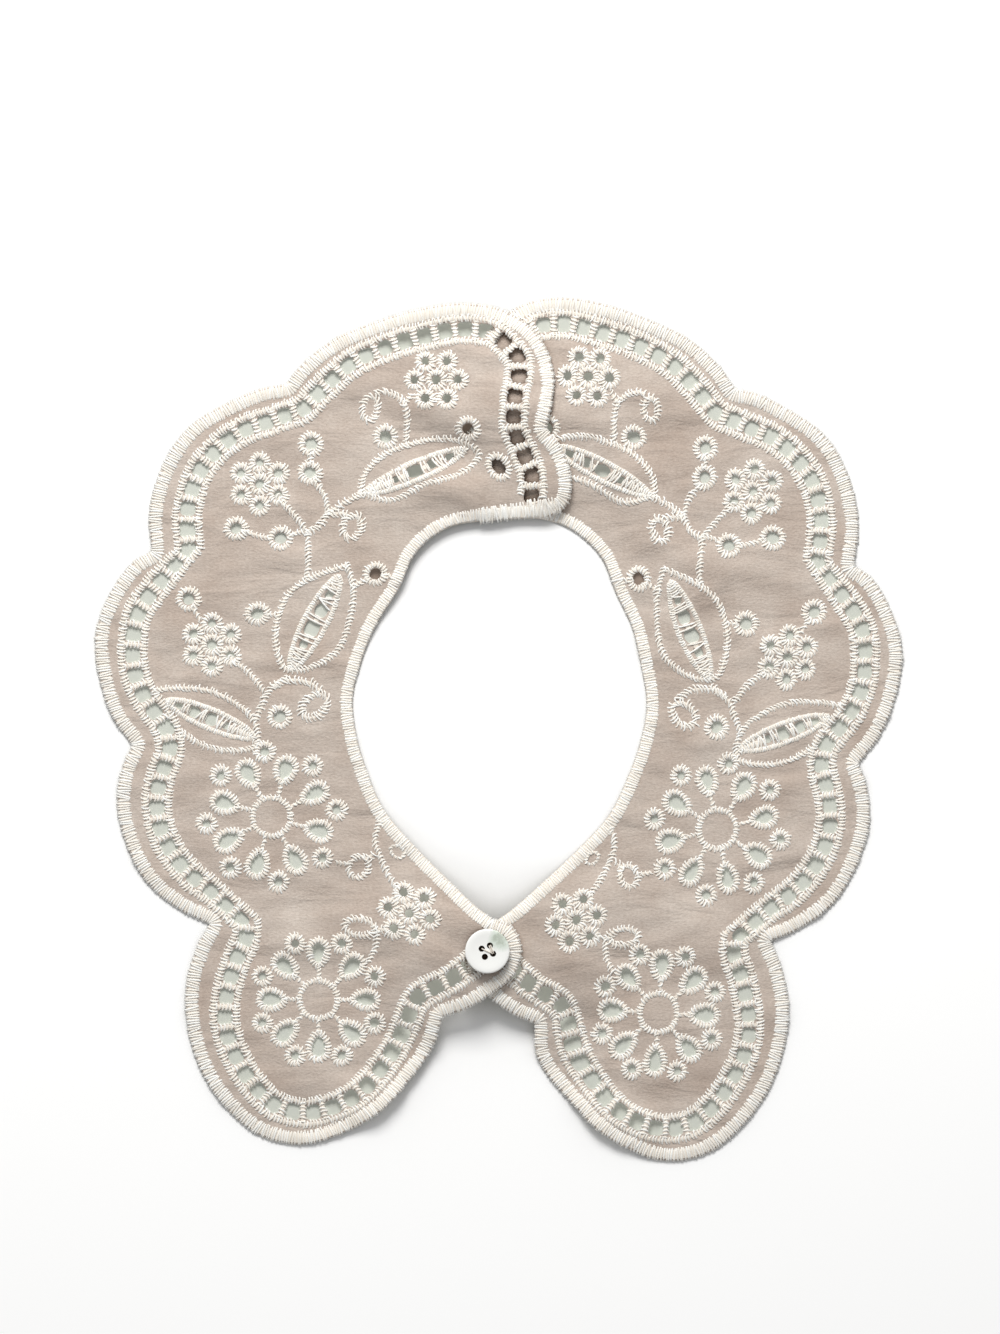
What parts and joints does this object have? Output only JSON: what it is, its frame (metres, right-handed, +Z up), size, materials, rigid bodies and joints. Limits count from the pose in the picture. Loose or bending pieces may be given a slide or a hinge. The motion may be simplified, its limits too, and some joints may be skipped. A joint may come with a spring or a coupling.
{
  "type": "broderie anglaise collar",
  "caption": "Detachable scalloped collar of cotton cutwork laid flat, in two halves that cross at the back and close at the front with a shell button.",
  "frame": {"origin": "on the table, under the middle of the collar's box", "axes": "+Y from the front closure to the back of the neck, +Z up off the table, +X to the wearer's left as the collar is worn"},
  "size_m": [0.21, 0.2248, 0.0121],
  "materials": {
    "cotton": "plain woven cotton, matt",
    "thread": "mercerised embroidery thread, soft sheen",
    "shell": "polished mother-of-pearl"
  },
  "bodies": {
    "root": {"left_panel": "cotton", "right_panel": "cotton", "button": "shell"}
  },
  "joints": []
}
